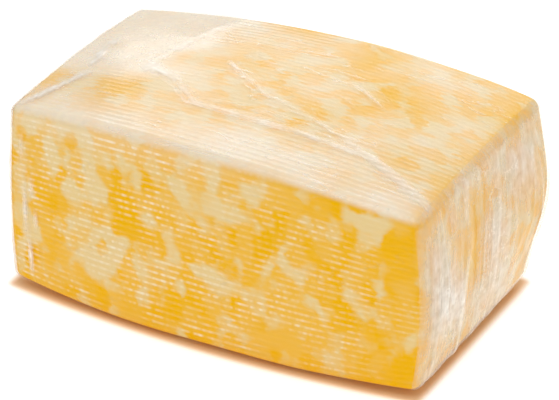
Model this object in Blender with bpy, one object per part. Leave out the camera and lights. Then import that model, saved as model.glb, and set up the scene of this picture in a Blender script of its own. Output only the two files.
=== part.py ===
"""A block of marble cheese in tight clear film, as one solid.

Metres, +Z up. The block lies on its flat underside with its length along X and the face that
shows most at -Y. The origin is on the table, under the middle of the block.

The solid is the outer form of the wrapped block. It starts as a box with rounded edges, swells
like a pillow because the cheese is soft and the film draws its edges in, and carries the fine
ribs that run along its top and its two long sides. The right-hand end has a soft bump near the
back, under the gathered film.
"""

import math

import bmesh
import bpy

MM = 0.001

# Driving sizes of the block, measured to its corners
LENGTH = 145.0 * MM
WIDTH = 82.6 * MM
HEIGHT = 65.0 * MM
EDGE_RADIUS = 3.2 * MM

# How far each face swells past its own corners
FRONT_SWELL = 5.9 * MM
BACK_SWELL = 3.3 * MM
TOP_SWELL_ALONG = 5.8 * MM
TOP_SWELL_ACROSS = 1.7 * MM
LEFT_SWELL = 1.8 * MM
RIGHT_SWELL = 3.1 * MM
END_SWELL_UP = 0.85  # share of an end face's swell that bows its upright edges

# How the cut block departs from a true box
CORNER_LIFT = 2.0 * MM  # the underside's corners, off the table
LIFT_START = 0.35  # share of the half length that stays flat on the table
END_TWIST = 1.2 * MM  # the right end is taller at the back than at the front
END_FLARE = 3.6 * MM  # and wider at the top

# The soft bump under the slack film at the right end, near the back edge
SLACK_REACH = 4.0 * MM
SLACK_SIDE = 0.85  # place across, from -1 at the front to 1 at the back
SLACK_HEIGHT = 0.10  # place up, from -1 at the bottom to 1 at the top
SLACK_SPREAD_ACROSS = 0.55
SLACK_SPREAD_UP = 0.62
SLACK_FADE = 8  # power of the share along, which keeps the bump to the end itself

# Ribs along the block
RIB_PITCH = 2.08 * MM
RIB_DEPTH = 0.35 * MM

# Fineness of the faceted solid
ARC_STEPS = 4  # facets round each long edge
UNDERSIDE_STEPS = 12
LENGTH_STEPS = 12
END_ROUND_STEPS = 4
LEFT_END_RINGS = (0.72, 0.40)  # rings inside an end face, as shares of its outline
RIGHT_END_RINGS = (0.90, 0.75, 0.58, 0.40, 0.20)  # finer, for the soft bump
SHARP_ANGLE = 40  # degrees between two facets, above which their edge is shaded hard

FILM_OVER_CHEESE = (0.93, 0.76, 0.43, 1.0)


def rib_steps(run):
    """An even number of facets, two to a rib, for a flat run of the outline."""
    return 2 * round(run / RIB_PITCH)


def outline(inset):
    """The block's cross-section, drawn in by inset, as (y, z, rib) from the right, anticlockwise.

    rib is 1 at the bottom of a groove and 0 on a crest. z is measured from half the height."""
    radius = max(EDGE_RADIUS - inset, 0.1 * EDGE_RADIUS)
    half_width = WIDTH / 2 - inset
    half_height = HEIGHT / 2 - inset
    y_flat = half_width - radius
    z_flat = half_height - radius
    across = rib_steps(WIDTH - 2 * EDGE_RADIUS)
    upward = rib_steps(HEIGHT - 2 * EDGE_RADIUS)
    points = []

    def corner(y, z, start):
        for step in range(ARC_STEPS + 1):
            angle = start + math.pi / 2 * step / ARC_STEPS
            points.append((y + radius * math.cos(angle), z + radius * math.sin(angle), 0))

    def run(start, end, steps, ribbed):
        for step in range(1, steps):
            share = step / steps
            y = start[0] + (end[0] - start[0]) * share
            z = start[1] + (end[1] - start[1]) * share
            points.append((y, z, step % 2 if ribbed else 0))

    corner(y_flat, z_flat, 0)
    run((y_flat, half_height), (-y_flat, half_height), across, True)
    corner(-y_flat, z_flat, math.pi / 2)
    run((-half_width, z_flat), (-half_width, -z_flat), upward, True)
    corner(-y_flat, -z_flat, math.pi)
    run((-y_flat, -half_height), (y_flat, -half_height), UNDERSIDE_STEPS, False)
    corner(y_flat, -z_flat, 1.5 * math.pi)
    run((half_width, -z_flat), (half_width, z_flat), upward, True)
    return points


def grooved(points, strength):
    """The outline with every groove drawn in towards the middle of its own side."""
    depth = RIB_DEPTH * strength
    moved = []
    for y, z, rib in points:
        on_top = abs(z) / HEIGHT > abs(y) / WIDTH
        dy = 0 if on_top else -math.copysign(depth * rib, y)
        dz = -math.copysign(depth * rib, z) if on_top else 0
        moved.append((y + dy, z + dz))
    return moved


def swollen(x, y, z):
    """A point of the plain rounded box, moved to where the soft wrapped block has it."""
    along = x / (LENGTH / 2)
    across = y / (WIDTH / 2)
    up = z / (HEIGHT / 2)
    mid_along = 1 - along**2
    mid_across = 1 - across**2
    mid_up = 1 - up**2
    top_share = (up + 1) / 2
    right_share = (along + 1) / 2

    end_swell = RIGHT_SWELL if along > 0 else LEFT_SWELL
    bow = END_SWELL_UP * mid_up + (1 - END_SWELL_UP) * mid_across
    new_x = x + along * end_swell * bow
    if along > 0:
        aside = (across - SLACK_SIDE) / SLACK_SPREAD_ACROSS
        above = (up - SLACK_HEIGHT) / SLACK_SPREAD_UP
        new_x += SLACK_REACH * along**SLACK_FADE * math.exp(-(aside**2) - above**2)

    side_swell = FRONT_SWELL if across < 0 else BACK_SWELL
    new_y = y + across * (side_swell * mid_along + END_FLARE * top_share * right_share)

    top = TOP_SWELL_ALONG * mid_along + TOP_SWELL_ACROSS * mid_across
    top += END_TWIST * right_share * across
    off_table = max(0, (abs(along) - LIFT_START) / (1 - LIFT_START)) ** 2
    new_z = z + top_share * top + (1 - top_share) * CORNER_LIFT * off_table
    return new_x, new_y, new_z + HEIGHT / 2


def stations():
    """(x, inset, rib strength) of each cross-section, from the left end to the right one."""
    flat = LENGTH / 2 - EDGE_RADIUS
    left = []
    for step in range(END_ROUND_STEPS):
        angle = math.pi / 2 * (1 - step / END_ROUND_STEPS)
        x = -flat - EDGE_RADIUS * math.sin(angle)
        left.append((x, EDGE_RADIUS * (1 - math.cos(angle)), step / END_ROUND_STEPS))
    middle = [(flat * (2 * step / LENGTH_STEPS - 1), 0, 1) for step in range(LENGTH_STEPS + 1)]
    right = [(-x, inset, strength) for x, inset, strength in reversed(left)]
    return left + middle + right


def rings():
    """Every cross-section of the block, with the shrinking rings that close its two ends."""
    sections = [
        [(x, y, z) for y, z in grooved(outline(inset), strength)]
        for x, inset, strength in stations()
    ]

    def shrunk(section, share):
        return [(x, y * share, z * share) for x, y, z in section]

    left = [shrunk(sections[0], share) for share in reversed(LEFT_END_RINGS)]
    right = [shrunk(sections[-1], share) for share in RIGHT_END_RINGS]
    return [[swollen(*point) for point in ring] for ring in left + sections + right]


def lofted(name, all_rings, left_tip, right_tip):
    """A closed mesh through the rings, with a fan of triangles to a point at each end."""
    bm = bmesh.new()
    rows = [[bm.verts.new(point) for point in ring] for ring in all_rings]
    count = len(rows[0])
    for row, following in zip(rows, rows[1:]):
        for i in range(count):
            j = (i + 1) % count
            bm.faces.new((row[i], following[i], following[j], row[j]))
    for row, tip in ((rows[0], left_tip), (rows[-1], right_tip)):
        point = bm.verts.new(tip)
        for i in range(count):
            bm.faces.new((row[i], row[(i + 1) % count], point))
    bmesh.ops.recalc_face_normals(bm, faces=bm.faces)
    bmesh.ops.triangulate(bm, faces=bm.faces)
    mesh = bpy.data.meshes.new(name)
    bm.to_mesh(mesh)
    bm.free()
    return mesh


def centred(mesh):
    """Slides the mesh so that the origin is under the middle of its outer size, on the table."""
    lows = [min(vertex.co[axis] for vertex in mesh.vertices) for axis in range(3)]
    highs = [max(vertex.co[axis] for vertex in mesh.vertices) for axis in range(3)]
    middle = [(low + high) / 2 for low, high in zip(lows, highs)]
    for vertex in mesh.vertices:
        vertex.co.x -= middle[0]
        vertex.co.y -= middle[1]
        vertex.co.z -= lows[2]


def cheese_material():
    material = bpy.data.materials.new("cheese_in_film")
    material.use_nodes = True
    shader = material.node_tree.nodes["Principled BSDF"]
    shader.inputs["Base Color"].default_value = FILM_OVER_CHEESE
    shader.inputs["Roughness"].default_value = 0.35
    shader.inputs["Metallic"].default_value = 0.0
    material.diffuse_color = FILM_OVER_CHEESE
    return material


def build():
    for obj in list(bpy.data.objects):
        bpy.data.objects.remove(obj, do_unlink=True)
    collection = bpy.data.collections.new("marble_cheese_block")
    bpy.context.scene.collection.children.link(collection)

    tips = [swollen(side * LENGTH / 2, 0, 0) for side in (-1, 1)]
    mesh = lofted("wrapped_cheese_block", rings(), *tips)
    centred(mesh)
    mesh.shade_smooth()
    mesh.set_sharp_from_angle(angle=math.radians(SHARP_ANGLE))
    mesh.materials.append(cheese_material())
    block = bpy.data.objects.new("wrapped_cheese_block", mesh)
    collection.objects.link(block)


build()
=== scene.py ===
import math

import bmesh
import bpy
import numpy as np
from mathutils import Matrix, Vector


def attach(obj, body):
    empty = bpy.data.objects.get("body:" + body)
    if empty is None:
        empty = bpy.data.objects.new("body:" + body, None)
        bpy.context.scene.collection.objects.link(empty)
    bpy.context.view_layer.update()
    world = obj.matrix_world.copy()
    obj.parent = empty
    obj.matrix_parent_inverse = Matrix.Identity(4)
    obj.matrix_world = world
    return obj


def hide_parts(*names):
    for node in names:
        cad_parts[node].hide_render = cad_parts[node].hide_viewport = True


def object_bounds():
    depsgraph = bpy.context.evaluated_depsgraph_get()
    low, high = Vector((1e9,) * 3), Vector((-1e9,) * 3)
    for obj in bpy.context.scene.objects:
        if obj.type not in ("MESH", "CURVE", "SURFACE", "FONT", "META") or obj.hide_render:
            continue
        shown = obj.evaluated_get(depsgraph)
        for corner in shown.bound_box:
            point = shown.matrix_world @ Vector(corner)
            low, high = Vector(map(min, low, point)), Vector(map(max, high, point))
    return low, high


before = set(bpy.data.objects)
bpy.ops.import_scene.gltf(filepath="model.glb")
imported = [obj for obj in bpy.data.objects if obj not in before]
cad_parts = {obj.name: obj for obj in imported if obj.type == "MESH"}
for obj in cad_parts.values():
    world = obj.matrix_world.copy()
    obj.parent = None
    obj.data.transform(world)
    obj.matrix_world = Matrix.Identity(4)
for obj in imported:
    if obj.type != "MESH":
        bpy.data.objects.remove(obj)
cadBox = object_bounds()

# A block of marble cheese in clear stretch film. The cheese is one closed surface. The film is a
# sleeve round it, and a gathered sheet over each end. Lengths are in millimetres until a mesh or
# a node is made, and a lamp's are in metres.

mm = 0.001

block = {
    "length": 145.0,  # the block at its corners, before it swells
    "width": 82.6,
    "height": 65.0,
    "edgeRadius": 3.2,
    "frontSwell": 5.9,  # how far each face swells past its corners
    "backSwell": 3.3,
    "topSwellAlong": 5.8,
    "topSwellAcross": 1.7,
    "leftSwell": 1.8,
    "rightSwell": 3.1,
    "endSwellUp": 0.85,  # share of an end's swell that bows its upright edges
    "cornerLift": 2.0,  # the underside's corners, off the table
    "liftStart": 0.35,  # share of the half length that stays flat on the table
    "endTwist": 1.2,  # the right end is taller at the back than at the front
    "endFlare": 3.6,  # and wider at the top
    "ribPitch": 2.08,
    "ribsRoundEdge": 2,
    "ribsOnEdge": 0.5,  # strength of the ribs that run along the two upper edges
}

# the soft bump at the right end, near the back
slack = {
    "reach": 4.0,  # how far it stands out
    "side": 0.85,  # its place across, from -1 at the front to 1 at the back
    "height": 0.10,  # its place up, from -1 at the bottom to 1 at the top
    "spreadAcross": 0.55,
    "spreadUp": 0.62,
    "fade": 8,  # power of the share along, which keeps it to the end itself
}


# a crowd of flat sine waves in seeded directions, added up: mostly between -1 and 1, with lumps
# about size across
def lumps(points, size, seed, waves=14):
    draw = np.random.default_rng(seed)
    directions = draw.normal(size=(waves, 3))
    directions /= np.linalg.norm(directions, axis=1)[:, None]
    turns = directions * draw.uniform(0.6, 1.5, (waves, 1)) * math.pi / size
    starts = draw.uniform(0, 2 * math.pi, waves)
    return np.sin(points @ turns.T + starts).sum(axis=-1) / math.sqrt(waves)


# a smooth step from 0 at low to 1 at high
def rise(value, low, high):
    share = np.clip((value - low) / (high - low), 0, 1)
    return share * share * (3 - 2 * share)


# the loop round the cross-section: a core point on a rectangle and an outward normal for each
# point, so that the surface is core + radius * normal. It goes up the back, over the top and down
# the front. rib counts the ribs passed, and ribbed is their strength.
def crossSection(perRib):
    coreY = block["width"] / 2 - block["edgeRadius"]
    coreZ = block["height"] / 2 - block["edgeRadius"]
    upRibs = round(2 * coreZ / block["ribPitch"])
    acrossRibs = round(2 * coreY / block["ribPitch"])
    corners = np.array([(coreY, -coreZ), (coreY, coreZ), (-coreY, coreZ), (-coreY, -coreZ)])
    sides = [(upRibs, 1.0), (acrossRibs, 1.0), (upRibs, 1.0), (acrossRibs, 0.0)]
    edgeRibs = block["ribsRoundEdge"]
    core, angle, rib, ribbed = [], [], [], []
    passed = 0
    for side, (ribs, strength) in enumerate(sides):
        start, end = corners[side], corners[(side + 1) % 4]
        share = np.arange(ribs * perRib) / (ribs * perRib)
        core.append(start + (end - start) * share[:, None])
        angle.append(np.full(share.size, side * math.pi / 2))
        rib.append(passed + share * ribs)
        ribbed.append(np.full(share.size, strength))
        passed += ribs
        turn = np.arange(edgeRibs * perRib) / (edgeRibs * perRib)
        core.append(np.tile(end, (turn.size, 1)))
        angle.append(side * math.pi / 2 + turn * math.pi / 2)
        rib.append(passed + turn * edgeRibs)
        ribbed.append(np.full(turn.size, block["ribsOnEdge"] if side < 2 else 0.0))
        passed += edgeRibs
    angle = np.concatenate(angle)
    return {
        "core": np.concatenate(core),
        "normal": np.stack([np.cos(angle), np.sin(angle)], axis=1),
        "rib": np.concatenate(rib),
        "ribbed": np.concatenate(ribbed),
        "ribs": passed,
    }


# the stations along the block: flat is the place on the straight length, turn the angle round the
# end edge, from -90 to 90 degrees, share how far the loop has shrunk on an end face, and straight
# 1 along the block and 0 on its ends
def stations(alongSteps, edgeSteps, leftRings=0, rightRings=0, leftTurns=True, rightTurns=True):
    flatEnd = block["length"] / 2 - block["edgeRadius"]
    parts = []
    if leftRings:
        share = (np.arange(leftRings) + 1) / (leftRings + 1)
        parts.append((np.full(leftRings, -flatEnd), np.full(leftRings, -90.0), share))
    if leftTurns:
        turn = np.linspace(-90, 0, edgeSteps + 1)[:-1]
        parts.append((np.full(edgeSteps, -flatEnd), turn, np.ones(edgeSteps)))
    if alongSteps:
        flat = np.linspace(-flatEnd, flatEnd, alongSteps + 1)
        parts.append((flat, np.zeros(flat.size), np.ones(flat.size)))
    if rightTurns:
        turn = np.linspace(0, 90, edgeSteps + 1)[1:]
        parts.append((np.full(edgeSteps, flatEnd), turn, np.ones(edgeSteps)))
    if rightRings:
        share = (np.arange(rightRings) + 1)[::-1] / (rightRings + 1)
        parts.append((np.full(rightRings, flatEnd), np.full(rightRings, 90.0), share))
    flat, turn, share = (np.concatenate(column) for column in zip(*parts))
    turn = np.radians(turn)
    return {"flat": flat, "turn": turn, "share": share, "straight": np.cos(turn)[:, None] ** 2}


# the rounded box before it swells: the core point, plus (radius + relief) along the outward normal
def boxGrid(rows, loop, inset=0.0, relief=0.0):
    radius = block["edgeRadius"] - inset
    out = np.cos(rows["turn"])[:, None]
    normal = np.stack(np.broadcast_arrays(
        np.sin(rows["turn"])[:, None], out * loop["normal"][:, 0], out * loop["normal"][:, 1]), axis=-1)
    share = rows["share"][:, None]
    core = np.stack(np.broadcast_arrays(
        rows["flat"][:, None], share * loop["core"][:, 0], share * loop["core"][:, 1]), axis=-1)
    return core + normal * (radius + np.asarray(relief))[..., None], normal


# the box moved to where the soft wrapped block has it, by parabolas in the shares along, across
# and up. It matches the solid, and bumpReach is how far the bump stands out at the right end.
def swollen(points, bumpReach=0.0):
    x, y, z = points[..., 0], points[..., 1], points[..., 2]
    along, across, up = x / (block["length"] / 2), y / (block["width"] / 2), z / (block["height"] / 2)
    midAlong, midAcross, midUp = 1 - along**2, 1 - across**2, 1 - up**2
    topShare, rightShare = (up + 1) / 2, (along + 1) / 2
    endSwell = np.where(along > 0, block["rightSwell"], block["leftSwell"])
    newX = x + along * endSwell * (block["endSwellUp"] * midUp + (1 - block["endSwellUp"]) * midAcross)
    aside = (across - slack["side"]) / slack["spreadAcross"]
    above = (up - slack["height"]) / slack["spreadUp"]
    newX += bumpReach * np.clip(along, 0, None) ** slack["fade"] * np.exp(-(aside**2) - above**2)
    sideSwell = np.where(across < 0, block["frontSwell"], block["backSwell"])
    newY = y + across * (sideSwell * midAlong + block["endFlare"] * topShare * rightShare)
    top = block["topSwellAlong"] * midAlong + block["topSwellAcross"] * midAcross
    top += block["endTwist"] * rightShare * across
    offTable = np.clip((np.abs(along) - block["liftStart"]) / (1 - block["liftStart"]), 0, None) ** 2
    newZ = z + topShare * top + (1 - topShare) * block["cornerLift"] * offTable
    return np.stack([newX, newY, newZ], axis=-1)


# where the formula's own outer surface lies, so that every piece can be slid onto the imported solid
outer = swollen(boxGrid(stations(40, 8, 12, 12), crossSection(2))[0], slack["reach"]).reshape(-1, 3)
cadLow, cadHigh = (np.array(corner) / mm for corner in cadBox)
slide = (cadLow + cadHigh) / 2 - (outer.min(axis=0) + outer.max(axis=0)) / 2
slide[2] = cadLow[2] - outer[:, 2].min()
print("the formula's box, mm", np.round(np.ptp(outer, axis=0), 2))
print("the solid's box, mm", np.round(cadHigh - cadLow, 2))

mergeWithin = 0.0005
mmPerCm = 10


# quads between neighbouring rows of a closed loop, and a fan of triangles to each tip. The fields
# become attributes of the points, and a tip has the mean of each.
def gridMesh(name, grid, loop, fields, leftTip=None, rightTip=None):
    rowCount, count = grid.shape[:2]
    verts = grid.reshape(-1, 3)
    row, column = np.meshgrid(np.arange(rowCount - 1), np.arange(count), indexing="ij")
    after = (column + 1) % count
    quads = np.stack([row * count + column, row * count + after,
                      (row + 1) * count + after, (row + 1) * count + column], axis=-1).reshape(-1, 4)
    faces = quads.tolist()
    ribAt = np.append(loop["rib"], loop["ribs"])
    u = np.stack([ribAt[column], ribAt[column + 1], ribAt[column + 1], ribAt[column]], axis=-1).reshape(-1)
    around = np.arange(count)
    tips = []
    for tip, first, flip in ((leftTip, 0, True), (rightTip, (rowCount - 1) * count, False)):
        if tip is None:
            continue
        point = len(verts) + len(tips)
        tips.append(tip)
        fan = np.stack([first + around, first + (around + 1) % count, np.full(count, point)], axis=1)
        fanU = np.stack([ribAt[around], ribAt[around + 1], ribAt[around]], axis=1)
        if flip:
            fan, fanU = fan[:, ::-1], fanU[:, ::-1]
        faces += fan.tolist()
        u = np.append(u, fanU.reshape(-1))
    if tips:
        verts = np.vstack([verts, tips])
    mesh = bpy.data.meshes.new(name)
    mesh.from_pydata(((verts + slide) * mm).tolist(), [], faces)
    corners = np.empty(len(mesh.loops), dtype=np.int32)
    mesh.loops.foreach_get("vertex_index", corners)
    # u counts the ribs round the block, and v is centimetres along it
    uv = np.stack([u, verts[corners, 0] / mmPerCm], axis=1).reshape(-1)
    mesh.uv_layers.new(name="ribs").data.foreach_set("uv", uv.astype(np.float32))
    for field, values in fields.items():
        flatValues = np.append(np.asarray(values, dtype=float).reshape(-1), np.zeros(len(tips)))
        if tips:
            flatValues[-len(tips):] = float(np.mean(values))
        mesh.attributes.new(field, "FLOAT", "POINT").data.foreach_set("value", flatValues.astype(np.float32))
    # on an end face each corner's arc has shrunk to one point, so its vertices are merged
    shape = bmesh.new()
    shape.from_mesh(mesh)
    bmesh.ops.remove_doubles(shape, verts=shape.verts, dist=mergeWithin * mm)
    shape.to_mesh(mesh)
    shape.free()
    mesh.shade_smooth()
    piece = bpy.data.objects.new(name, mesh)
    bpy.context.scene.collection.objects.link(piece)
    print(name, "triangles", sum(len(face.vertices) - 2 for face in mesh.polygons))
    return piece


# an sRGB hex colour as the linear one that shaders take
def linear(hexColour):
    parts = [int(hexColour[i:i + 2], 16) / 255 for i in (0, 2, 4)]
    return tuple(c / 12.92 if c <= 0.04045 else ((c + 0.055) / 1.055) ** 2.4 for c in parts) + (1.0,)


# settings of nodes that are used often
smooth = {"interpolation_type": "SMOOTHSTEP"}
times = {"operation": "MULTIPLY"}


# one node with its settings, and its inputs as values or as other nodes' sockets
def addNode(tree, kind, settings=None, inputs=None):
    node = tree.nodes.new("ShaderNode" + kind)
    for key, value in (settings or {}).items():
        setattr(node, key, value)
    for key, value in (inputs or {}).items():
        if isinstance(value, bpy.types.NodeSocket):
            tree.links.new(value, node.inputs[key])
        else:
            node.inputs[key].default_value = value
    return node


def newMaterial(name):
    material = bpy.data.materials.new(name)
    material.use_nodes = True
    print("material", name)
    return material, material.node_tree, material.node_tree.nodes["Principled BSDF"]


curds = {
    "cellSize": 5.2,  # mm across a curd
    "cellSmooth": 0.75,  # how far neighbouring cells flow into one another
    "cellRandom": 0.9,
    "upright": 0.74,  # the curds stand taller than wide
    "warp": 1.1,  # mm that their edges wander
    "warpSize": 4.0,
    "fringe": 1.6,  # mm that a border is drawn out along the ribs
    "fringeSize": 1.3,
    "fringeStretch": 0.12,  # scale of that noise along the ribs
    "blend": 0.28,  # share of the cloudy field that softens the cells
    "blendSize": 5.0,
    "blendLow": 0.28,  # the part of that noise that is stretched to the full range
    "blendHigh": 0.72,
    "orangeShare": 0.60,
    "softness": 0.23,  # half the width of the step between the two colours
    "pull": 0.25,  # how firmly the named curds below turn the marbling their way
    "orange": "F3B800",
    "peach": "F2C25A",
    "peachShare": 0.60,  # how far the palest orange curds go towards peach
    "peachLow": 0.25,
    "peachHigh": 0.75,
    "cream": "EBD095",
    "roughness": 0.5,
    "scatter": 0.12,  # share of the light that sinks in
    "scatterDepth": 1.5,  # mm, times the colour's own share
    "scatterByColour": (1.0, 0.6, 0.25),
    "grainSize": 0.9,  # mm across the grain of the cut face
    "grainHeight": 0.1,
    "grainStrength": 0.15,
}


# the curds' colour: a smooth Voronoi cell's random value, blended with a cloudy noise, is compared
# with the share that is orange, after the point is warped and drawn out along the ribs
def curdColour(tree, place):
    placed = addNode(tree, "Mapping", None, {
        "Vector": place, "Scale": (1, 1, curds["upright"])}).outputs["Vector"]
    wander = addNode(tree, "TexNoise", None, {
        "Vector": placed, "Scale": 1 / (curds["warpSize"] * mm), "Detail": 4.0})
    centred = addNode(tree, "VectorMath", {"operation": "SUBTRACT"}, {
        0: wander.outputs["Color"], 1: (0.5, 0.5, 0.5)}).outputs[0]
    pushed = addNode(tree, "VectorMath", {"operation": "SCALE"}, {
        0: centred, "Scale": 2 * curds["warp"] * mm}).outputs[0]
    warped = addNode(tree, "VectorMath", {"operation": "ADD"}, {0: placed, 1: pushed}).outputs[0]
    # the wire that cut the block dragged each border a little along its ribs
    dragged = addNode(tree, "Mapping", None, {
        "Vector": place, "Scale": (curds["fringeStretch"], 1, 1)}).outputs["Vector"]
    drag = addNode(tree, "TexNoise", None, {
        "Vector": dragged, "Scale": 1 / (curds["fringeSize"] * mm), "Detail": 1.0})
    along = addNode(tree, "MapRange", {"clamp": False}, {
        "Value": drag.outputs["Fac"], "To Min": -curds["fringe"] * mm, "To Max": curds["fringe"] * mm})
    stretch = addNode(tree, "Attribute", {"attribute_name": "drawnOut"}).outputs["Fac"]
    alongX = addNode(tree, "Math", times, {0: along.outputs["Result"], 1: stretch}).outputs[0]
    drawnOut = addNode(tree, "CombineXYZ", None, {"X": alongX}).outputs[0]
    warped = addNode(tree, "VectorMath", {"operation": "ADD"}, {0: warped, 1: drawnOut}).outputs[0]
    cells = addNode(tree, "TexVoronoi", {"feature": "SMOOTH_F1"}, {
        "Vector": warped, "Scale": 1 / (curds["cellSize"] * mm),
        "Smoothness": curds["cellSmooth"], "Randomness": curds["cellRandom"]})
    values = addNode(tree, "SeparateColor", None, {"Color": cells.outputs["Color"]})
    cloud = addNode(tree, "TexNoise", None, {
        "Vector": warped, "Scale": 1 / (curds["blendSize"] * mm), "Detail": 2.5, "Roughness": 0.55})
    cloudValue = addNode(tree, "MapRange", None, {
        "Value": cloud.outputs["Fac"],
        "From Min": curds["blendLow"], "From Max": curds["blendHigh"]}).outputs["Result"]
    mixed = addNode(tree, "Mix", {"data_type": "FLOAT"}, {
        "Factor": curds["blend"], "A": values.outputs["Red"], "B": cloudValue}).outputs["Result"]
    pull = addNode(tree, "Attribute", {"attribute_name": "curdPull"}).outputs["Fac"]
    chosen = addNode(tree, "Math", {"operation": "MULTIPLY_ADD"}, {
        0: pull, 1: curds["pull"], 2: mixed}).outputs[0]
    half = 1 - curds["orangeShare"]
    isOrange = addNode(tree, "MapRange", smooth, {
        "Value": chosen,
        "From Min": half - curds["softness"], "From Max": half + curds["softness"]}).outputs["Result"]
    pale = addNode(tree, "MapRange", None, {
        "Value": values.outputs["Green"], "From Min": curds["peachLow"], "From Max": curds["peachHigh"],
        "To Min": curds["peachShare"], "To Max": 0.0}).outputs["Result"]
    deep = addNode(tree, "Mix", {"data_type": "RGBA"}, {
        "Factor": pale, "A": linear(curds["orange"]), "B": linear(curds["peach"])}).outputs["Result"]
    return addNode(tree, "Mix", {"data_type": "RGBA"}, {
        "Factor": isOrange, "A": linear(curds["cream"]), "B": deep}).outputs["Result"]


# the broken white line where the film bridges each groove: partly the film's milkiness there, and partly a
# painted highlight on the film's ribs
grooveDashesAndGlints = {
    "white": "FFF5E6",
    "perCm": 5.6,
    "rowStep": 7.31,  # from one rib's row of the noise to the next
    "startReach": 40.0,  # how far along its row a rib's line may start
    "low": 0.36,  # the noise at which a dash begins and is full
    "high": 0.66,
    "grooveEdge": 0.1,  # the rib's cosine where the line begins, and where it is full
    "grooveFloor": -0.9,
    "strength": 0.52,
    "onTop": 0.35,  # the share of that strength on the top
    "usual": 0.8,
    "uneven": 0.45,
    "unevenSize": 7,
    "least": 0.1,
    "most": 1.3,
    "wetLoss": 0.9,  # share lost where the film clings wet to the cheese
    "wetSize": 17,
    "wetFrom": (0.3, 1.1),
    "rightLoss": 0.3,
    "rightLossAlong": (-20, 60),
}


# The film's own milkiness, the attribute haze, and the white lines, the attribute lines, are
# painted over the curds here, as a half clear white sheet would darken the cheese under it.
# On the top that milkiness is partly a painted sheen, and each line is partly a painted highlight.
def filmMilkAndPaintedGlints(tree, colour):
    uv = addNode(tree, "SeparateXYZ", None, {0: addNode(tree, "UVMap", {"uv_map": "ribs"}).outputs["UV"]})
    turn = addNode(tree, "Math", times, {0: uv.outputs["X"], 1: 2 * math.pi}).outputs[0]
    wave = addNode(tree, "Math", {"operation": "COSINE"}, {0: turn}).outputs[0]
    groove = addNode(tree, "MapRange", smooth, {
        "Value": wave, "From Min": grooveDashesAndGlints["grooveEdge"], "From Max": grooveDashesAndGlints["grooveFloor"]}).outputs["Result"]
    # each rib's line is read from its own row of the noise, slid along by a random start
    ribNumber = addNode(tree, "Math", {"operation": "FLOOR"}, {0: uv.outputs["X"]}).outputs[0]
    start = addNode(tree, "TexWhiteNoise", {"noise_dimensions": "1D"}, {"W": ribNumber}).outputs["Value"]
    start = addNode(tree, "Math", times, {0: start, 1: grooveDashesAndGlints["startReach"]}).outputs[0]
    row = addNode(tree, "Math", times, {0: ribNumber, 1: grooveDashesAndGlints["rowStep"]}).outputs[0]
    along = addNode(tree, "Math", {"operation": "MULTIPLY_ADD"}, {
        0: uv.outputs["Y"], 1: grooveDashesAndGlints["perCm"], 2: start}).outputs[0]
    ribPlace = addNode(tree, "CombineXYZ", None, {"X": row, "Y": along}).outputs[0]
    broken = addNode(tree, "TexNoise", None, {
        "Vector": ribPlace, "Scale": 1.0, "Detail": 2.0, "Roughness": 0.55})
    patchy = addNode(tree, "MapRange", None, {
        "Value": broken.outputs["Fac"],
        "From Min": grooveDashesAndGlints["low"], "From Max": grooveDashesAndGlints["high"]}).outputs["Result"]
    line = addNode(tree, "Math", times, {0: groove, 1: patchy}).outputs[0]
    strength = addNode(tree, "Attribute", {"attribute_name": "lines"}).outputs["Fac"]
    haze = addNode(tree, "Attribute", {"attribute_name": "haze"}).outputs["Fac"]
    milky = addNode(tree, "Math", {"operation": "MULTIPLY_ADD", "use_clamp": True}, {
        0: line, 1: strength, 2: haze}).outputs[0]
    return addNode(tree, "Mix", {"data_type": "RGBA"}, {
        "Factor": milky, "A": colour, "B": linear(grooveDashesAndGlints["white"])}).outputs["Result"]


# Semi-firm marbled cheese: orange curds pressed together with cream ones. Seen close, their
# borders are soft, each curd has its own strength of colour, and light sinks a little way in.
def marbledCheese():
    material, tree, shader = newMaterial("marbled_cheese")
    place = addNode(tree, "TexCoord").outputs["Object"]
    # over the curds go the film's milkiness, with its painted sheen, and the groove lines, with their painted
    # highlights
    tree.links.new(filmMilkAndPaintedGlints(tree, curdColour(tree, place)), shader.inputs["Base Color"])
    shader.inputs["Roughness"].default_value = curds["roughness"]
    shader.inputs["Subsurface Weight"].default_value = curds["scatter"]
    shader.inputs["Subsurface Radius"].default_value = curds["scatterByColour"]
    shader.inputs["Subsurface Scale"].default_value = curds["scatterDepth"] * mm
    # the film lies on it, so the only gloss is the film's
    shader.inputs["Specular IOR Level"].default_value = 0.0
    grain = addNode(tree, "TexNoise", None, {
        "Vector": place, "Scale": 1 / (curds["grainSize"] * mm), "Detail": 3.0})
    bump = addNode(tree, "Bump", None, {
        "Height": grain.outputs["Fac"], "Distance": curds["grainHeight"] * mm,
        "Strength": curds["grainStrength"]}).outputs["Normal"]
    tree.links.new(bump, shader.inputs["Normal"])
    return material


film = {
    "white": "FAF4E9",  # where it is folded or creased
    "roughness": 0.12,
    "mirrorLeast": 0.01,  # share mirrored when seen straight on
    "mirrorMore": 0.35,  # and how much is added at a glance
    "mirrorPower": 4.0,
    "creaseSize": 4.5,  # mm between fine creases
    "creaseStretch": 0.12,  # scale of their noise along them
    "creaseWidth": 0.018,  # how far from its middle value the noise still draws a crease
    "patchSize": 16,  # mm across a patch of creases
    "patchLow": 0.42,
    "patchHigh": 0.60,
    "mottleSize": 3.5,  # mm across the milkiness's own unevenness
    "mottleLeast": 0.75,
    "mottleMost": 1.2,
    "streakSize": 1.8,  # mm across a streak on a gathered end
    "streakStretch": 0.04,  # scale of its noise upwards
    "noiseLow": 0.3,  # the part of the mottle's and the streaks' noise that is stretched out
    "noiseHigh": 0.7,
}
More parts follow.
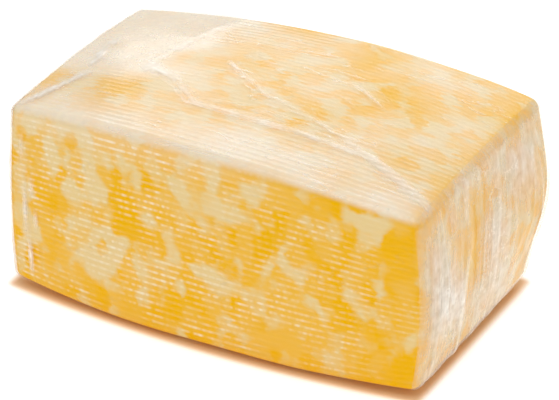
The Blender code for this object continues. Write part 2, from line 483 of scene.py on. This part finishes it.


# Clear cling film, blown and stretched: it mirrors at a glance, and where it is folded, creased or
# lies double it turns milky. haze is that milkiness on the mesh, on the sleeve's top partly a
# painted sheen, and the rest lets the cheese show.
def clearFilm(name, creaseTurn, creaseWhite, streaks=0.0):
    material, tree, shader = newMaterial(name)
    place = addNode(tree, "TexCoord").outputs["Object"]
    haze = addNode(tree, "Attribute", {"attribute_name": "haze"}).outputs["Fac"]
    if streaks:
        # drawn out upwards, as the gathered film hangs
        drawn = addNode(tree, "Mapping", None, {
            "Vector": place, "Scale": (1, 1, film["streakStretch"])}).outputs["Vector"]
        milky = addNode(tree, "TexNoise", None, {
            "Vector": drawn, "Scale": 1 / (film["streakSize"] * mm),
            "Detail": 3.0, "Roughness": 0.5, "Distortion": 0.3})
        push = addNode(tree, "MapRange", {"clamp": False}, {
            "Value": milky.outputs["Fac"], "From Min": film["noiseLow"], "From Max": film["noiseHigh"],
            "To Min": -streaks, "To Max": streaks}).outputs["Result"]
        haze = addNode(tree, "Math", {"operation": "ADD"}, {0: haze, 1: push}).outputs[0]
    # fine creases: thin lines where a noise drawn out along them crosses its middle, in patches
    turned = addNode(tree, "Mapping", None, {
        "Vector": place, "Rotation": tuple(math.radians(angle) for angle in creaseTurn),
        "Scale": (film["creaseStretch"], 1, 1)}).outputs["Vector"]
    field = addNode(tree, "TexNoise", None, {
        "Vector": turned, "Scale": 1 / (film["creaseSize"] * mm), "Detail": 2.0})
    fromMiddle = addNode(tree, "Math", {"operation": "SUBTRACT"}, {
        0: field.outputs["Fac"], 1: 0.5}).outputs[0]
    offMiddle = addNode(tree, "Math", {"operation": "ABSOLUTE"}, {0: fromMiddle}).outputs[0]
    crease = addNode(tree, "MapRange", smooth, {
        "Value": offMiddle, "From Min": film["creaseWidth"], "From Max": 0.0}).outputs["Result"]
    where = addNode(tree, "TexNoise", None, {
        "Vector": place, "Scale": 1 / (film["patchSize"] * mm), "Detail": 1.0})
    creasePatch = addNode(tree, "MapRange", smooth, {
        "Value": where.outputs["Fac"], "From Min": film["patchLow"], "From Max": film["patchHigh"],
        "To Max": creaseWhite}).outputs["Result"]
    creased = addNode(tree, "Attribute", {"attribute_name": "creased"}).outputs["Fac"]
    crease = addNode(tree, "Math", times, {0: crease, 1: creasePatch}).outputs[0]
    crease = addNode(tree, "Math", times, {0: crease, 1: creased}).outputs[0]
    haze = addNode(tree, "Math", {"operation": "ADD"}, {0: haze, 1: crease}).outputs[0]
    mottle = addNode(tree, "TexNoise", None, {
        "Vector": place, "Scale": 1 / (film["mottleSize"] * mm), "Detail": 2.0})
    uneven = addNode(tree, "MapRange", None, {
        "Value": mottle.outputs["Fac"], "From Min": film["noiseLow"], "From Max": film["noiseHigh"],
        "To Min": film["mottleLeast"], "To Max": film["mottleMost"]}).outputs["Result"]
    haze = addNode(tree, "Math", {"operation": "MULTIPLY", "use_clamp": True}, {
        0: haze, 1: uneven}).outputs[0]
    # the mirror comes up with the turn away from the viewer, the same from inside as from outside
    facing = addNode(tree, "LayerWeight", None, {"Blend": 0.5}).outputs["Facing"]
    glance = addNode(tree, "Math", {"operation": "POWER"}, {0: facing, 1: film["mirrorPower"]}).outputs[0]
    mirror = addNode(tree, "Math", {"operation": "MULTIPLY_ADD"}, {
        0: glance, 1: film["mirrorMore"], 2: film["mirrorLeast"]}).outputs[0]
    clear = addNode(tree, "Math", {"operation": "SUBTRACT"}, {0: 1.0, 1: haze}).outputs[0]
    mirrorShare = addNode(tree, "Math", times, {0: mirror, 1: clear}).outputs[0]
    alpha = addNode(tree, "Math", {"operation": "ADD", "use_clamp": True}, {
        0: haze, 1: mirrorShare}).outputs[0]
    tree.links.new(alpha, shader.inputs["Alpha"])
    # the mirror's part of what isn't clear is white metal, which reflects and adds no colour
    aboveZero = addNode(tree, "Math", {"operation": "MAXIMUM"}, {0: alpha, 1: 0.001}).outputs[0]
    metallic = addNode(tree, "Math", {"operation": "DIVIDE", "use_clamp": True}, {
        0: mirrorShare, 1: aboveZero}).outputs[0]
    tree.links.new(metallic, shader.inputs["Metallic"])
    shader.inputs["Base Color"].default_value = linear(film["white"])
    shader.inputs["Roughness"].default_value = film["roughness"]
    return material


# The few places that catch the eye, each as its middle and half size in mm: x and z on the front,
# x and y on the top. All the other marbling, and the hidden sides', is left to chance.
orangeOnFront = [
    (-48, 56, 3, 5), (-14, 65, 3, 3), (15, 67, 5, 2), (39, 66, 6, 3), (65, 50, 5, 12), (7, 43, 11, 5),
]
creamOnFront = [(-41, 46, 5, 6), (-39, 18, 7, 6), (53, 62, 6, 4), (-2, 28, 6, 4)]
orangeOnTop = [(71, 0, 3, 40)]
wetPlaces = [(39, 64, 14, 6), (64, 50, 8, 14)]


# how far inside a crowd of rounded boxes a point is: 1 inside, 0 outside, from the fourth-power sum
def nearPlaces(first, second, places):
    total = np.zeros(np.shape(first))
    for firstAt, secondAt, firstHalf, secondHalf in places:
        reach = (((first - firstAt) / firstHalf) ** 4 + ((second - secondAt) / secondHalf) ** 4) ** 0.25
        total = np.maximum(total, 1 - rise(reach, 0.7, 1.35))
    return total


# the part of the normal, upwards or to the front, at which a point begins to count as on the top
# or the front, and at which it counts fully
sideFrom = {"film": (0.5, 0.95), "veilAndSheen": (0.3, 0.9), "ribs": (0.3, 0.8), "cheese": (0.4, 0.8)}


def topAndFront(normal, kind):
    return rise(normal[..., 2], *sideFrom[kind]), rise(-normal[..., 1], *sideFrom[kind])


# the film's milkiness as shares of white, each with the millimetres over which it comes up, from
# the block's middle towards the side in the name. On the top it is partly the film's own
# milkiness and partly a painted sheen of the light from above and behind.
milkAndSheen = {
    # the top's share is partly a painted sheen of the lamps above
    "top": 0.30,
    "cloud": 0.12,  # how much the top's varies
    "cloudSize": 20,
    "fineCloud": 0.5,  # share of the finer clouds in that
    "fineCloudSize": 8,
    "layers": 0.74,  # added at the back left, where the film lies in several layers
    "layersLeft": (28, 48),
    "layersBack": (-17, -3),
    "layersSlant": 0.25,
    "layersWander": 3.5,
    "layersWanderSize": 13,
    "nearEdge": 0.42,  # added along the top's front edge
    "nearEdgeFront": (20, 42),
    "clearing": 0.10,  # taken off at the back right
    "clearingRight": (-20, 40),
    "clearingBack": (-10, 18),
    "rightLoss": 0.75,  # share lost beside the right end
    "rightLossRight": (60, 74),
    "front": 0.02,
    "elsewhere": 0.05,
    "edgeVeil": 0.22,  # laps over the front's upper edge, towards the left
    "edgeVeilUp": (58, 70),
    "edgeVeilSlant": 0.05,
    "edgeVeilLeft": (-35, 10),
    "most": 0.95,
}


# 1 in the patch at the back left of the top where the film lies in several layers, 0 elsewhere
def layered(placed):
    x, y = placed[..., 0], placed[..., 1]
    wander = milkAndSheen["layersWander"] * lumps(placed, milkAndSheen["layersWanderSize"], seed=41)
    left = rise(-x + milkAndSheen["layersSlant"] * y + wander, *milkAndSheen["layersLeft"])
    return left * rise(y, *milkAndSheen["layersBack"])


# the milkiness, with its painted sheen on the top: a sum of smooth steps in the place, clouded by two crowds
# of waves
def milkinessAndSheen(placed, normal):
    x, y, z = placed[..., 0], placed[..., 1], placed[..., 2]
    onTop, onFront = topAndFront(normal, "film")
    veilAndSheen = rise(normal[..., 2], *sideFrom["veilAndSheen"])
    layers = layered(placed)
    patches = lumps(placed, milkAndSheen["cloudSize"], seed=21)
    clouds = patches + milkAndSheen["fineCloud"] * lumps(placed, milkAndSheen["fineCloudSize"], seed=23)
    haze = veilAndSheen * (milkAndSheen["top"] + milkAndSheen["cloud"] * clouds * (1 - layers) + milkAndSheen["layers"] * layers
                   + milkAndSheen["nearEdge"] * rise(-y, *milkAndSheen["nearEdgeFront"]))
    haze -= veilAndSheen * milkAndSheen["clearing"] * rise(x, *milkAndSheen["clearingRight"]) * rise(y, *milkAndSheen["clearingBack"])
    haze *= 1 - milkAndSheen["rightLoss"] * rise(x, *milkAndSheen["rightLossRight"])
    haze += milkAndSheen["front"] * onFront * np.clip(patches, 0, 1)
    haze += milkAndSheen["elsewhere"] * (1 - onTop) * (1 - onFront)
    lap = rise(z - milkAndSheen["edgeVeilSlant"] * x, *milkAndSheen["edgeVeilUp"]) * rise(-x, *milkAndSheen["edgeVeilLeft"])
    haze += milkAndSheen["edgeVeil"] * onFront * lap
    return np.clip(haze, 0, milkAndSheen["most"])


# the strength of each groove's white line and its painted highlight: less where it is wet, on the top and to
# the right
def lineAndGlintStrength(placed, normal, loop, rows):
    x, z = placed[..., 0], placed[..., 2]
    _, onFront = topAndFront(normal, "film")
    wet = np.maximum(rise(lumps(placed, grooveDashesAndGlints["wetSize"], seed=29), *grooveDashesAndGlints["wetFrom"]),
                     onFront * nearPlaces(x, z, wetPlaces))
    uneven = grooveDashesAndGlints["usual"] + grooveDashesAndGlints["uneven"] * lumps(placed, grooveDashesAndGlints["unevenSize"], seed=37)
    lines = grooveDashesAndGlints["strength"] * loop["ribbed"] * rows["straight"] * (1 - grooveDashesAndGlints["wetLoss"] * wet)
    lines *= np.clip(uneven, grooveDashesAndGlints["least"], grooveDashesAndGlints["most"])
    lines *= 1 - grooveDashesAndGlints["rightLoss"] * rise(x, *grooveDashesAndGlints["rightLossAlong"])
    topLoss = 1 - grooveDashesAndGlints["onTop"] * (1 - layered(placed))
    return lines * (1 - topLoss * rise(normal[..., 2], *sideFrom["ribs"]))


grooves = {
    "depth": 0.14,  # of the film's grooves, and of the cheese's under them
    "topFlatter": 0.6,  # share by which they are weaker on the top
    "layersFlatter": 0.4,  # and by how much more under the layered patch
}


# how deep each groove is, from 0 to 1: a cosine of the rib's number, weaker on the top
def ribGrooves(placed, normal, loop, rows):
    groove = (1 - np.cos(2 * math.pi * loop["rib"])) / 2 * loop["ribbed"] * rows["straight"]
    flatter = grooves["topFlatter"] + grooves["layersFlatter"] * layered(placed)
    return groove * (1 - flatter * rise(normal[..., 2], *sideFrom["ribs"]))


cheese = {
    "inset": 0.45,  # how far the cheese lies under the film
    "bump": 3.75,  # how much of the right end's soft bump the cheese follows
    "milkinessAndSheen": 0.85,  # the share of the milkiness that is painted on, under the film's own
    "grooveUneven": 0.25,
    "grooveUnevenSize": 14,
    "lumpHeight": 0.15,
    "lumpSize": 22,
    "wander": 1.6,  # mm that the named places wander, so that none is a plain rounded box
    "wanderSize": 5,
    "lowOrange": 0.5,  # lower down, and to the right, the front shows more orange
    "lowOrangeFrom": (-26, -8),  # heights, counted downwards
    "rightOrange": 0.35,
    "rightOrangeFrom": (0, 60),
    "endOrange": 0.6,
    "topCream": 0.15,  # the top shows more cream than orange
    "topDrawn": 1.6,  # and its curds are drawn out further along the ribs
    "perRib": 4,
    "along": 116,
    "edgeSteps": 5,
    "rings": 22,
}


# the cheese: the block's form drawn in under the film, with a cosine groove for each rib
def makeCheese():
    loop = crossSection(cheese["perRib"])
    rows = stations(cheese["along"], cheese["edgeSteps"], cheese["rings"], cheese["rings"])
    grid, normal = boxGrid(rows, loop, cheese["inset"])
    placed = swollen(grid) + slide
    # the film's milkiness, on the top partly a painted sheen, and the groove lines, partly painted
    # highlights, are painted on the cheese
    haze = cheese["milkinessAndSheen"] * milkinessAndSheen(placed, normal)
    lines = lineAndGlintStrength(placed, normal, loop, rows)
    uneven = 1 - cheese["grooveUneven"] * (1 - lumps(grid, cheese["grooveUnevenSize"], seed=3))
    groove = ribGrooves(placed, normal, loop, rows) * uneven
    relief = cheese["lumpHeight"] * (lumps(grid, cheese["lumpSize"], seed=5) - 1) - grooves["depth"] * groove
    grid, normal = boxGrid(rows, loop, cheese["inset"], relief)

    placed = swollen(grid, cheese["bump"]) + slide
    drift = np.stack([lumps(placed, cheese["wanderSize"], seed=seed) for seed in (31, 32, 33)], axis=-1)
    x, y, z = np.moveaxis(placed + cheese["wander"] * drift, -1, 0)
    onTop, onFront = topAndFront(normal, "cheese")
    pull = onFront * (nearPlaces(x, z, orangeOnFront) - nearPlaces(x, z, creamOnFront))
    pull += onFront * (cheese["lowOrange"] * rise(-placed[..., 2], *cheese["lowOrangeFrom"])
                       + cheese["rightOrange"] * rise(placed[..., 0], *cheese["rightOrangeFrom"]))
    pull += onTop * (cheese["endOrange"] * nearPlaces(x, y, orangeOnTop) - cheese["topCream"])
    fields = {"curdPull": pull, "drawnOut": 1 + cheese["topDrawn"] * onTop, "haze": haze, "lines": lines}
    tip = np.array([block["length"] / 2 - cheese["inset"], 0, 0])
    piece = gridMesh("marbled_cheese", swollen(grid, cheese["bump"]), loop, fields,
                     leftTip=swollen(-tip), rightTip=swollen(tip, cheese["bump"]))
    piece.data.materials.append(marbledCheese())
    return piece


# Folds in the film on the top, each a bowed line in plan: start and end along and across in mm,
# bow to the side, width, height and whiteness
topFolds = [
    {"start": (-46, -3), "end": (-18, -21), "bow": 1.5, "width": 0.9, "height": 0.35, "white": 0.36},
    {"start": (-22, -20), "end": (42, -22), "bow": -0.6, "width": 0.7, "height": 0.30, "white": 0.34},
    {"start": (38, -21), "end": (72, -37), "bow": 1.2, "width": 1.3, "height": 0.40, "white": 0.30},
    {"start": (-23, 10), "end": (2, -8), "bow": -0.8, "width": 0.6, "height": 0.25, "white": 0.26},
    {"start": (0, -7), "end": (40, -21), "bow": 1.4, "width": 0.8, "height": 0.20, "white": 0.18},
    {"start": (18, 15), "end": (33, 6), "bow": 0.8, "width": 0.5, "height": 0.20, "white": 0.22},
    {"start": (-44, -6), "end": (-35, 40), "bow": 2.0, "width": 0.6, "height": 0.20, "white": 0.14},
    {"start": (-72, -38), "end": (-62, -12), "bow": -1.5, "width": 1.3, "height": 0.40, "white": 0.42},
    {"start": (-62, -12), "end": (-66, 12), "bow": 0.8, "width": 1.0, "height": 0.30, "white": 0.32},
]

# folds up the front beside the left end, with start and end along and up in mm
frontFolds = [
    {"start": (-70, 58), "end": (-66, 5), "bow": -1.0, "width": 0.50, "height": 0.25, "white": 0.60},
    {"start": (-67, 46), "end": (-63, 5), "bow": 0.5, "width": 0.40, "height": 0.20, "white": 0.45},
    {"start": (-69, 36), "end": (-67, 5), "bow": 0.4, "width": 0.40, "height": 0.20, "white": 0.50},
]

# each fold on the top is a bundle: a broad faint band and finer lines beside it, shifted, turned
# and bowed by chance
bundle = {
    "lines": 6,
    "shift": 1.8,  # mm, as the next two
    "turn": 0.6,
    "bow": 0.8,
    "width": (0.3, 0.55),
    "height": (0.05, 0.15),
    "white": (0.10, 0.28),
    "bandWidth": 2.6,
    "bandWhite": 0.16,
    "fullWhite": 0.4,  # whiteness of the fold that has its bundle at full strength
}


# the folds with their bundles, drawn with a seed
def bundled(folds, seed):
    draw = np.random.default_rng(seed)
    crowd = list(folds)
    for fold in folds:
        share = fold["white"] / bundle["fullWhite"]
        band = {"width": bundle["bandWidth"], "height": 0.0, "white": bundle["bandWhite"] * share}
        crowd.append({**fold, **band})
        for _ in range(bundle["lines"]):
            shift = draw.normal(0, bundle["shift"], 2)
            start = np.array(fold["start"]) + shift + draw.normal(0, bundle["turn"], 2)
            end = np.array(fold["end"]) + shift + draw.normal(0, bundle["turn"], 2)
            crowd.append({
                "start": start, "end": end, "bow": fold["bow"] + draw.normal(0, bundle["bow"]),
                "width": draw.uniform(*bundle["width"]), "height": draw.uniform(*bundle["height"]),
                "white": draw.uniform(*bundle["white"]) * share})
    return crowd


foldLine = {
    "wiggle": 0.25,  # mm that it strays from its bow
    "wiggleTurn": 9,  # radians over its length
    "fade": (-0.08, 0.15),  # the share of its length over which it comes up at each end
    "usual": 0.65,
    "uneven": 0.35,
    "longBeat": 7.3,  # mm for each radian of the two waves that make it uneven
    "shortBeat": 3.1,
}


# a fold is a Gaussian ridge across its line, which bows by a parabola and wiggles by a sine. It
# waxes and wanes with the product of two sines, and fades out over both ends.
def foldRidge(x, y, fold):
    start, end = np.array(fold["start"], float), np.array(fold["end"], float)
    length = np.linalg.norm(end - start)
    ahead = (end - start) / length
    run = ((x - start[0]) * ahead[0] + (y - start[1]) * ahead[1]) / length
    off = (y - start[1]) * ahead[0] - (x - start[0]) * ahead[1]
    off -= fold["bow"] * 4 * run * (1 - run)
    off -= foldLine["wiggle"] * np.sin(run * foldLine["wiggleTurn"] + start[0])
    beat = np.sin(run * length / foldLine["shortBeat"] + 5 * start[0])
    beat *= np.sin(run * length / foldLine["longBeat"] + start[1])
    ridge = (foldLine["usual"] + foldLine["uneven"] * beat) * np.exp(-((off / fold["width"]) ** 2))
    return ridge * rise(run, *foldLine["fade"]) * rise(1 - run, *foldLine["fade"])


wrap = {
    "milkinessAndSheen": 0.30,  # the share of the milkiness that is in the film itself
    "foldWhite": 1.15,  # what each fold's stated whiteness and height are multiplied by
    "foldHeight": 0.35,
    "crumple": 0.06,
    "crumpleSize": 9,
    "creaseTurn": (0, 0, 28),  # degrees, so that the creases run slantwise over the top
    "creaseWhite": 0.26,
    "sideCreases": 0.3,  # share of the creases on the sides
    "layersSmooth": 0.8,  # share of them that the layered patch doesn't have
    "perRib": 6,
    "along": 100,
    "edgeSteps": 6,
}


# the sleeve of film: the solid's own outer surface, sagging a little into each groove, with folds
def makeWrap():
    loop = crossSection(wrap["perRib"])
    rows = stations(wrap["along"], wrap["edgeSteps"])
    grid, normal = boxGrid(rows, loop)
    placed = swollen(grid, slack["reach"]) + slide
    x, y, z = placed[..., 0], placed[..., 1], placed[..., 2]
    onTop, onFront = topAndFront(normal, "film")
    folds = [(fold, foldRidge(x, y, fold) * onTop) for fold in bundled(topFolds, seed=51)]
    folds += [(fold, foldRidge(x, z, fold) * onFront) for fold in frontFolds]
    foldsHigh = sum(fold["height"] * ridge for fold, ridge in folds)
    foldsWhite = sum(fold["white"] * ridge for fold, ridge in folds)
    relief = wrap["foldHeight"] * foldsHigh - grooves["depth"] * ribGrooves(placed, normal, loop, rows)
    # crumpled a little, but not on the underside, which lies flat
    crumple = wrap["crumple"] * lumps(grid, wrap["crumpleSize"], seed=11)
    relief += crumple * rows["straight"] * (normal[..., 2] > -0.5)
    # on the top this milkiness is partly a painted sheen
    haze = wrap["milkinessAndSheen"] * milkinessAndSheen(placed, normal) + wrap["foldWhite"] * foldsWhite
    creased = (onTop + wrap["sideCreases"] * (1 - onTop)) * (1 - wrap["layersSmooth"] * layered(placed))
    grid, _ = boxGrid(rows, loop, 0.0, relief)
    piece = gridMesh("film_sleeve", swollen(grid, slack["reach"]), loop,
                     {"haze": np.clip(haze, 0, milkAndSheen["most"]), "creased": creased})
    piece.data.materials.append(clearFilm("clear_film_over_ribs", wrap["creaseTurn"], wrap["creaseWhite"]))
    return piece


ends = {
    "right": {"side": 1, "rings": 88, "pleats": 70, "seed": 7, "haze": 0.35, "fold": 0.25},
    "left": {"side": -1, "rings": 70, "pleats": 50, "seed": 17, "haze": 0.38, "fold": 0.0},
}

# the gathered film on both ends, with places in mm from the middle of the end face
gather = {
    "stand": 0.30,  # how far it stands off
    "edgeShare": 0.6,  # share of the pleats that stand by the front edge, and where
    "edgePlaces": (-38, -28),
    "places": (-30, 40),
    "lean": (-0.07, 0.07),
    "bend": (-1.2, 1.2),
    "bendTurn": 14,  # mm for each radian of a pleat's bend
    "width": (0.3, 0.8),
    "edgeHeight": (0.05, 0.24),
    "height": (0.05, 0.16),
    "middle": (-22, 14),
    "reach": (14, 40),
    "foldAt": -12,  # the broad fold's place at its top, which is foldTop above the middle
    "foldTop": 27,
    "foldLean": 0.09,
    "foldBend": 0.8,
    "foldBendTurn": 5,
    "foldWidth": 1.6,
    "foldDown": (-24, -4),
    "foldHeight": 1.4,  # mm for each share of its white
    "crumple": 0.12,
    "crumpleSize": 6,
    "pleatWhite": 0.28,
    "cloud": 0.16,
    "cloudSize": 11,
    "roundShare": 0.25,  # share of the milkiness on the rounded edge, where the sleeve lies too
    "streaks": 0.10,
    "creaseTurn": (0, 84, 0),  # degrees, so that the creases run up the end
    "creaseWhite": 0.22,
    "perRib": 4,
    "edgeSteps": 4,
}


# upright pleats: a crowd of sharp ridges exp(-|distance|/width), each leaning a little and faded
# at its own top and bottom, drawn with a seed and denser towards the front edge
def pleatRelief(y, z, end):
    draw = np.random.default_rng(end["seed"])
    total = np.zeros_like(y)
    for _ in range(end["pleats"]):
        byEdge = draw.random() < gather["edgeShare"]
        keys = ("edgePlaces" if byEdge else "places", "lean", "bend", "width",
                "edgeHeight" if byEdge else "height", "middle", "reach")
        centre, lean, bend, width, height, middle, reach = (draw.uniform(*gather[key]) for key in keys)
        line = centre + lean * z + bend * np.sin(z / gather["bendTurn"] + centre)
        total += height * np.exp(-np.abs(y - line) / width) * np.exp(-(((z - middle) / reach) ** 4))
    return total


# the one broad white fold that runs down the end: a Gaussian ridge across a leaning sine, faded in
# downwards
def broadFold(y, z):
    line = gather["foldAt"] - gather["foldLean"] * (gather["foldTop"] - z)
    line += gather["foldBend"] * np.sin(z / gather["foldBendTurn"])
    return np.exp(-(((y - line) / gather["foldWidth"]) ** 2)) * rise(-z, *gather["foldDown"])


# the gathered film over one end: rings shrinking to the middle of the end face, with pleats
def makeEnd(sideName):
    end = ends[sideName]
    right = end["side"] > 0
    rings = (0, end["rings"]) if right else (end["rings"], 0)
    loop = crossSection(gather["perRib"])
    rows = stations(0, gather["edgeSteps"], *rings, leftTurns=not right, rightTurns=right)
    flatOn = np.abs(np.sin(rows["turn"]))[:, None] ** 2
    grid, _ = boxGrid(rows, loop)
    pleats = pleatRelief(grid[..., 1], grid[..., 2], end)
    fold = end["fold"] * broadFold(grid[..., 1], grid[..., 2])
    crumple = gather["crumple"] * lumps(grid, gather["crumpleSize"], seed=end["seed"] + 40)
    relief = flatOn * (gather["stand"] + pleats + gather["foldHeight"] * fold + crumple)
    grid, _ = boxGrid(rows, loop, 0.0, relief)
    cloud = gather["cloud"] * lumps(grid, gather["cloudSize"], seed=end["seed"] + 60)
    haze = end["haze"] + gather["pleatWhite"] * np.clip(pleats, 0, 1) + fold + cloud
    haze *= gather["roundShare"] + (1 - gather["roundShare"]) * flatOn
    fields = {"haze": np.clip(haze, 0, milkAndSheen["most"]), "creased": np.broadcast_to(flatOn, haze.shape)}
    reach = slack["reach"] if right else 0.0
    tip = swollen(np.array([end["side"] * (block["length"] / 2 + gather["stand"]), 0.0, 0.0]), reach)
    tips = {"rightTip" if right else "leftTip": tip}
    piece = gridMesh("film_end_" + sideName, swollen(grid, reach), loop, fields, **tips)
    piece.data.materials.append(clearFilm(
        "clear_film_gathered_" + sideName, gather["creaseTurn"], gather["creaseWhite"], gather["streaks"]))
    return piece


for piece in (makeCheese(), makeWrap(), makeEnd("right"), makeEnd("left")):
    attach(piece, "root")
    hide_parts("wrapped_cheese_block")

studio = {
    "world": 0.51,
    "floor": "F6F5F3",
    "floorHalf": 3.0,  # m
    "floorDrop": 0.15,  # mm that it lies under the block
    "floorGlow": 0.49,
    "warmFloor": "F0A24A",  # light that has come through the cheese, on the floor beside it
    # painted warm shade: the floor's colour close to the block
    "warmShade": "EBCBA6",
    "warmGlow": 0.10,
    "shadeInset": 1.0,  # mm inside the block's own outline where the shade ends
    "shadeReach": 4.0,  # and the mm from there over which the floor's own glow comes up
    "lampsAim": (0, 0, 0.035),
}
lamps = {
    "back": {"power": 3.0, "size": (0.9, 0.5), "at": (-0.22, 0.90, 0.62)},
    "overhead": {"power": 3.7, "size": (0.7, 0.7), "at": (0.10, -0.15, 1.0)},
    "front": {"power": 0.28, "size": (0.6, 0.5), "at": (-0.55, -0.95, 0.55)},
}


# the distance from the block's outline on the floor, a rectangle whose long sides bow out by a
# parabola: the length of what of |place| is left past the half sizes
def fromOutline(tree):
    place = addNode(tree, "TexCoord").outputs["Object"]
    place = addNode(tree, "VectorMath", {"operation": "SUBTRACT"}, {
        0: place, 1: (slide[0] * mm, slide[1] * mm, 0)}).outputs[0]
    apart = addNode(tree, "VectorMath", {"operation": "ABSOLUTE"}, {0: place}).outputs[0]
    alongX = addNode(tree, "SeparateXYZ", None, {0: apart}).outputs["X"]
    along = addNode(tree, "Math", times, {0: alongX, 1: 2 / (block["length"] * mm)}).outputs[0]
    squared = addNode(tree, "Math", times, {0: along, 1: along}).outputs[0]
    bow = addNode(tree, "Math", {"operation": "MULTIPLY_ADD", "use_clamp": True}, {
        0: squared, 1: -block["frontSwell"] * mm, 2: block["frontSwell"] * mm}).outputs[0]
    bowed = addNode(tree, "CombineXYZ", None, {"Y": bow}).outputs[0]
    apart = addNode(tree, "VectorMath", {"operation": "SUBTRACT"}, {0: apart, 1: bowed}).outputs[0]
    halfLength, halfWidth = ((block[size] / 2 - studio["shadeInset"]) * mm for size in ("length", "width"))
    # the third number is a metre, which leaves nothing of the height
    apart = addNode(tree, "VectorMath", {"operation": "SUBTRACT"}, {
        0: apart, 1: (halfLength, halfWidth, 1.0)}).outputs[0]
    apart = addNode(tree, "VectorMath", {"operation": "MAXIMUM"}, {0: apart, 1: (0, 0, 0)}).outputs[0]
    return addNode(tree, "VectorMath", {"operation": "LENGTH"}, {0: apart}).outputs["Value"]


# White floor that glows a little, so that it stays white in the block's shade. Under the block and
# close to it the glow is weak, so that its contact shadow stays. Close to the block its colour
# is a painted warm shade, and its glow a painted warm light.
def whiteFloor():
    material, tree, shader = newMaterial("white_studio_floor")
    shader.inputs["Roughness"].default_value = 0.9
    shader.inputs["Specular IOR Level"].default_value = 0.0
    away = addNode(tree, "MapRange", smooth, {
        "Value": fromOutline(tree), "From Max": studio["shadeReach"] * mm}).outputs["Result"]
    glow = addNode(tree, "MapRange", None, {
        "Value": away, "To Min": studio["warmGlow"], "To Max": studio["floorGlow"]}).outputs["Result"]
    tree.links.new(glow, shader.inputs["Emission Strength"])
    # the painted warm light, glowing beside the block
    paintedWarmLight = addNode(tree, "Mix", {"data_type": "RGBA"}, {
        "Factor": away, "A": linear(studio["warmFloor"]), "B": (1, 1, 1, 1)}).outputs["Result"]
    tree.links.new(paintedWarmLight, shader.inputs["Emission Color"])
    # the painted warm shade, in the floor's colour beside the block
    paintedWarmShadeColour = addNode(tree, "Mix", {"data_type": "RGBA"}, {
        "Factor": away, "A": linear(studio["warmShade"]), "B": linear(studio["floor"])}).outputs["Result"]
    tree.links.new(paintedWarmShadeColour, shader.inputs["Base Color"])
    return material


# a square of floor just under the block
def makeFloor():
    half, level = studio["floorHalf"], -studio["floorDrop"] * mm
    mesh = bpy.data.meshes.new("floor")
    mesh.from_pydata([
        (-half, -half, level), (half, -half, level), (half, half, level), (-half, half, level),
    ], [], [(0, 1, 2, 3)])
    mesh.materials.append(whiteFloor())
    floor = bpy.data.objects.new("floor", mesh)
    bpy.context.scene.collection.objects.link(floor)


# a rectangular lamp turned to the block
def addSoftbox(name, box):
    light = bpy.data.lights.new(name, "AREA")
    light.shape = "RECTANGLE"
    light.size, light.size_y = box["size"]
    light.energy = box["power"]
    lamp = bpy.data.objects.new(name, light)
    lamp.location = box["at"]
    toBlock = Vector(studio["lampsAim"]) - lamp.location
    lamp.rotation_euler = toBlock.to_track_quat("-Z", "Y").to_euler()
    bpy.context.scene.collection.objects.link(lamp)


makeFloor()
for name, box in lamps.items():
    addSoftbox("softbox_" + name, box)
world = bpy.data.worlds.new("white_room")
world.use_nodes = True
world.node_tree.nodes["Background"].inputs["Color"].default_value = (1, 1, 1, 1)
world.node_tree.nodes["Background"].inputs["Strength"].default_value = studio["world"]
bpy.context.scene.world = world
bpy.context.scene.view_settings.view_transform = "Standard"
print("studio: floor, white room and softboxes", list(lamps))

view = {
    "azimuth": 27.13,  # degrees from the long side that shows
    "elevation": 29.14,
    "roll": 1.09,
    "distance": 1030.1,
    "lens": 207.04,
    "sensor": 36,
    "nearest": 10,  # closer things than this aren't drawn
    "aimAt": (-2.48, 1.26, 32.87),
    "aimRight": 2.57,
    "aimUp": -2.04,
}


# the camera looks along the given angles at the aim point, slid sideways and up in the picture
def addCamera():
    turn, lift, roll = (math.radians(view[key]) for key in ("azimuth", "elevation", "roll"))
    back = Vector((math.sin(turn) * math.cos(lift), -math.cos(turn) * math.cos(lift), math.sin(lift)))
    right = Vector((math.cos(turn), math.sin(turn), 0))
    up = back.cross(right)
    rolledRight = right * math.cos(roll) + up * math.sin(roll)
    rolledUp = up * math.cos(roll) - right * math.sin(roll)
    data = bpy.data.cameras.new("camera")
    data.sensor_width = view["sensor"]
    data.lens = view["lens"]
    data.clip_start = view["nearest"] * mm
    camera = bpy.data.objects.new("camera", data)
    at = Vector(view["aimAt"]) + rolledRight * view["aimRight"] + rolledUp * view["aimUp"]
    at += back * view["distance"]
    turned = Matrix((rolledRight, rolledUp, back)).transposed().to_4x4()
    camera.matrix_world = Matrix.Translation(at * mm) @ turned
    bpy.context.scene.collection.objects.link(camera)
    bpy.context.scene.camera = camera
    print("camera at, m", [round(part, 3) for part in at * mm])


addCamera()
